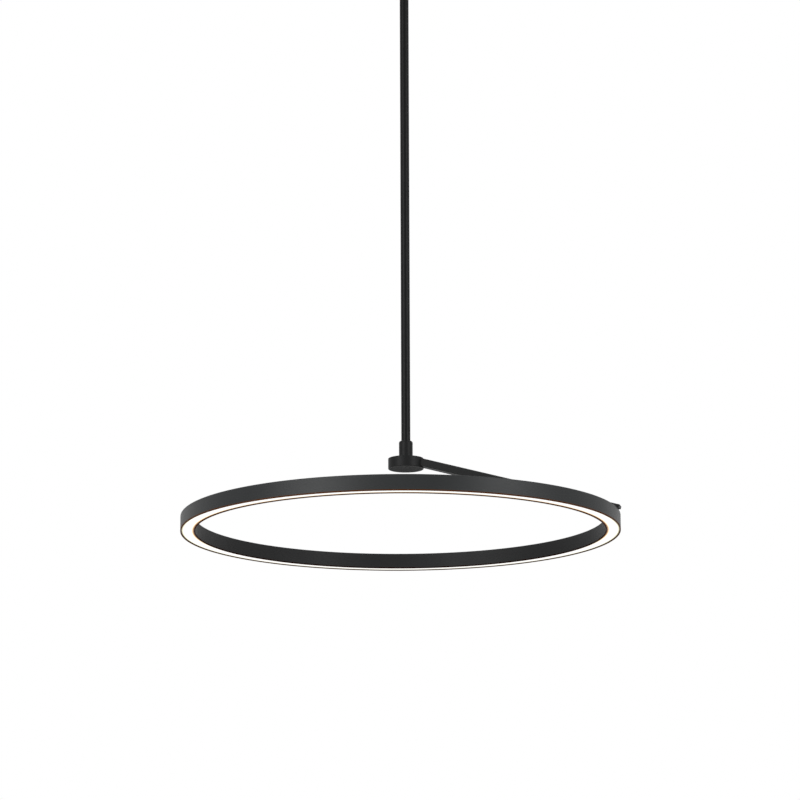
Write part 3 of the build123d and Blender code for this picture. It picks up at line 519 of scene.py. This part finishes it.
# Surfaces worked out on a grid
def new_surface(name, points, polygons, finish):
    """Puts whole arrays of points and polygons into the mesh of an object at the origin."""
    mesh = bpy.data.meshes.new(name)
    mesh.from_pydata(points.reshape(-1, 3).tolist(), [], polygons)
    mesh.materials.append(finish)
    surface = bpy.data.objects.new(name, mesh)
    scene.collection.objects.link(surface)
    return surface


def full_turn(steps):
    """Even angles once round."""
    return np.linspace(0, 2 * np.pi, steps, endpoint=False)


def grid_faces(rows, cols, wrap_rows, wrap_cols):
    """The four corners of each cell of a grid of points; a wrapped side joins its last row or column
    to its first."""
    i, j = np.meshgrid(
        np.arange(rows if wrap_rows else rows - 1), np.arange(cols if wrap_cols else cols - 1), indexing="ij"
    )
    k, m = (i + 1) % rows, (j + 1) % cols
    return np.stack([i * cols + j, k * cols + j, k * cols + m, i * cols + m], axis=-1).reshape(-1, 4)


def unit(v):
    """Vectors of length one along the given ones."""
    return v / np.linalg.norm(v, axis=-1, keepdims=True)


def rounded_section(corners, radii, steps):
    """A closed section with rounded corners. Each corner is swapped for a circular arc, a rational
    quadratic curve between the two points where the round meets the sides, whose middle weight is the
    sine of half the corner's angle. The outward direction turns evenly along the arc."""
    corners, radii = np.asarray(corners, float), np.asarray(radii, float)[:, None]
    back = unit(np.roll(corners, 1, axis=0) - corners)
    ahead = unit(np.roll(corners, -1, axis=0) - corners)
    half = 0.5 * np.arccos(np.clip((back * ahead).sum(-1, keepdims=True), -1, 1))
    trim = radii / np.tan(half)
    start, end = corners + trim * back, corners + trim * ahead
    t = np.linspace(0.0, 1.0, steps)[None, :, None]
    weight = np.sin(half)[:, None, :]
    a, b, c = (1 - t) ** 2, 2 * t * (1 - t) * weight, t ** 2
    line = (a * start[:, None] + b * corners[:, None] + c * end[:, None]) / (a + b + c)
    out_before = np.stack([-back[:, 1], back[:, 0]], axis=-1)
    out_after = np.stack([ahead[:, 1], -ahead[:, 0]], axis=-1)
    out = unit((1 - t) * out_before[:, None] + t * out_after[:, None])
    return line.reshape(-1, 2), out.reshape(-1, 2)


def add_ring_shell(finish):
    """The ring's channel: its section, a roof with two walls, snap ribs and stop ribs, is carried
    round the ring's axis. Place = axis + (middle radius + section across) along the turned direction,
    at the section's height over the ring's lower edge."""
    side, inner, high, wall = 0.01025, 0.00875, 0.022, 0.0015
    snap, snap_half, snap_out = 0.007, 0.0008, 0.0005
    stop, stop_high, stop_out = 0.0142, 0.001, 0.0012
    rib_round, top_round, lip_round = 0.00012, 0.0012, 0.00025
    corner_steps, ring_steps = 6, 540
    rising = [
        (0.0, 0.0), (0.0, snap - snap_half), (snap_out, snap), (0.0, snap + snap_half),
        (0.0, stop), (stop_out, stop), (stop_out, stop + stop_high), (0.0, stop + stop_high), (0.0, high - wall),
    ]
    left = [(-inner + x, z) for x, z in rising]
    right = [(inner - x, z) for x, z in reversed(rising)]
    corners = [(side, 0.0), (side, high), (-side, high), (-side, 0.0)] + left + right
    radii = np.full(len(corners), rib_round)
    radii[[1, 2]] = top_round
    radii[[0, 3, 4, -1]] = lip_round
    section, out = rounded_section(corners, radii, corner_steps)
    turn = full_turn(ring_steps)
    c, s = np.cos(turn)[:, None], np.sin(turn)[:, None]
    across, height, out_across, out_up = (
        np.broadcast_to(v, (len(turn), len(section))) for v in (section[:, 0], section[:, 1], out[:, 0], out[:, 1])
    )
    reach = ring_mid_radius + across
    points = np.stack([ring_axis_x + reach * c, reach * s, ring_low + height], axis=-1)
    normals = np.stack([out_across * c, out_across * s, out_up], axis=-1)
    shell = new_surface("ring_shell", points, grid_faces(len(turn), len(section), True, True).tolist(), finish)
    shell.data.polygons.foreach_set("use_smooth", np.ones(len(shell.data.polygons), dtype=bool))
    shell.data.normals_split_custom_set_from_vertices(normals.reshape(-1, 3).tolist())
    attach(shell, "pendant")
    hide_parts("ring_channel")


def add_terminal_screws(finish):
    """Six slotted screw heads in the terminal block's wells. Each is a low dome over a round grid:
    height = edge + dome times (1 - r squared), less the slot's depth near the slot's line, and a
    skirt that drops to the well's floor at the rim, where a flat underside closes it."""
    well, spacing = 0.003, 0.009
    head_radius, edge, dome = 0.0018, 0.0011, 0.0004
    slot_half, slot_blur, slot_depth = 0.00032, 0.00003, 0.0007
    rings = np.concatenate([np.linspace(0.04, 1.0, 16), [1.0]])
    low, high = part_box("terminal_block")
    middle, floor = (np.array(low) + np.array(high)) / 2, high[2] - well
    r, turn = np.meshgrid(rings, full_turn(48), indexing="ij")
    x, y = head_radius * r * np.cos(turn), head_radius * r * np.sin(turn)
    slot = 1.0 / (1.0 + np.exp((np.abs(x) - slot_half) / slot_blur))
    z = floor + edge + dome * (1 - r ** 2) - slot_depth * slot
    z[-1] = floor
    gx, gy = np.meshgrid(np.array([-1, 0, 1]) * spacing, np.array([-0.5, 0.5]) * spacing, indexing="ij")
    swing = np.array([0.3, 1.4, -0.5, 0.9, -1.1, 0.1])[:, None, None]
    px = middle[0] + gx.reshape(-1, 1, 1) + x * np.cos(swing) - y * np.sin(swing)
    py = middle[1] + gy.reshape(-1, 1, 1) + x * np.sin(swing) + y * np.cos(swing)
    points = np.stack([px, py, np.broadcast_to(z, px.shape)], axis=-1)
    rows, cols = r.shape
    first = (np.arange(len(swing)) * rows * cols)[:, None]
    cells = grid_faces(rows, cols, False, True)[None] + first[:, :, None]
    middles = first + np.arange(cols)[None, :]
    undersides = middles[:, ::-1] + (rows - 1) * cols
    polygons = cells.reshape(-1, 4).tolist() + middles.tolist() + undersides.tolist()
    screws = new_surface("terminal_screws", points, polygons, finish)
    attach(screws, "ceiling_set")


# Studio: white surroundings, two side softboxes, one above and a pale floor
def add_softbox(name, place, aim, width, height, watts):
    lamp = bpy.data.lights.new(name, "AREA")
    lamp.shape = "RECTANGLE"
    lamp.size, lamp.size_y = width, height
    lamp.energy = watts
    box = bpy.data.objects.new(name, lamp)
    scene.collection.objects.link(box)
    here, there = studio_point(*place), studio_point(*aim)
    turn = (there - here).to_track_quat("-Z", "Y")
    box.matrix_world = Matrix.Translation(here) @ turn.to_matrix().to_4x4()


def seen_directly(tree):
    """1 for what the camera, a reflection or a look through glass sees, 0 for light on the object."""
    path = add(tree, "ShaderNodeLightPath").outputs
    seen = math_node(tree, "MAXIMUM", path["Is Camera Ray"], path["Is Glossy Ray"])
    return math_node(tree, "MAXIMUM", seen, path["Is Transmission Ray"])


def add_surroundings():
    """White where it is seen, and a dimmer cool fill as light on the object."""
    world = bpy.data.worlds.new("white_studio")
    scene.world = world
    world.use_nodes = True
    tree = world.node_tree
    tree.nodes.clear()
    fill = add(tree, "ShaderNodeBackground", Color=rgb(0.96, 0.98, 1.0), Strength=0.55)
    white = add(tree, "ShaderNodeBackground", Color=rgb(1, 1, 1), Strength=1.0)
    mixed = mix_shaders(tree, seen_directly(tree), fill.outputs[0], white.outputs[0])
    add(tree, "ShaderNodeOutputWorld", Surface=mixed)


def floor_finish():
    """A pale matt floor. What the camera and reflections see is mixed with white, more and more
    towards its rim, so that it runs out into the white surroundings, and from below it is clear."""
    pale_from, pale_to, least_pale = 1.2, 7.5, 0.5
    finish, tree, shader = new_finish("pale_floor")
    place_skin(
        tree, shader, moulded,
        Tone=rgb(0.80, 0.80, 0.80), Shade=rgb(0.77, 0.77, 0.77), Roughness=0.8, Grain_Size=40.0,
    )
    rim = map_range(tree, ring_reach(tree), pale_from, pale_to, least_pale, 1.0, "SMOOTHSTEP")
    white = add(tree, "ShaderNodeEmission", Color=rgb(1, 1, 1), Strength=1.0)
    pale = math_node(tree, "MULTIPLY", rim, seen_directly(tree))
    paled = mix_shaders(tree, pale, shader.outputs["BSDF"], white.outputs[0])
    clear = add(tree, "ShaderNodeBsdfTransparent")
    below = add(tree, "ShaderNodeNewGeometry").outputs["Backfacing"]
    sided = mix_shaders(tree, below, paled, clear.outputs[0])
    feed(tree, sided, tree.nodes["Material Output"].inputs["Surface"])
    return finish


def add_floor():
    """A pale round floor: rings of points at growing radius on a flat disc."""
    rim_radius, rings, steps = 9.0, 9, 72
    radius, turn = np.meshgrid(np.linspace(0.0, rim_radius, rings + 1)[1:], full_turn(steps), indexing="ij")
    x, y = radius * np.cos(turn), radius * np.sin(turn)
    points = np.stack([x, y, np.full_like(x, floor_level)], axis=-1)
    polygons = grid_faces(rings, steps, False, True).tolist() + [list(range(steps))]
    new_surface("floor", points, polygons, floor_finish())


add_camera()
finishes = make_finishes()
dress_nodes(finishes)
add_ring_shell(finishes["ring_channel"])
add_terminal_screws(finishes["zinc_steel"])
add_surroundings()
for softbox in softboxes:
    add_softbox(*softbox)
add_floor()

scene.view_settings.view_transform = "Standard"
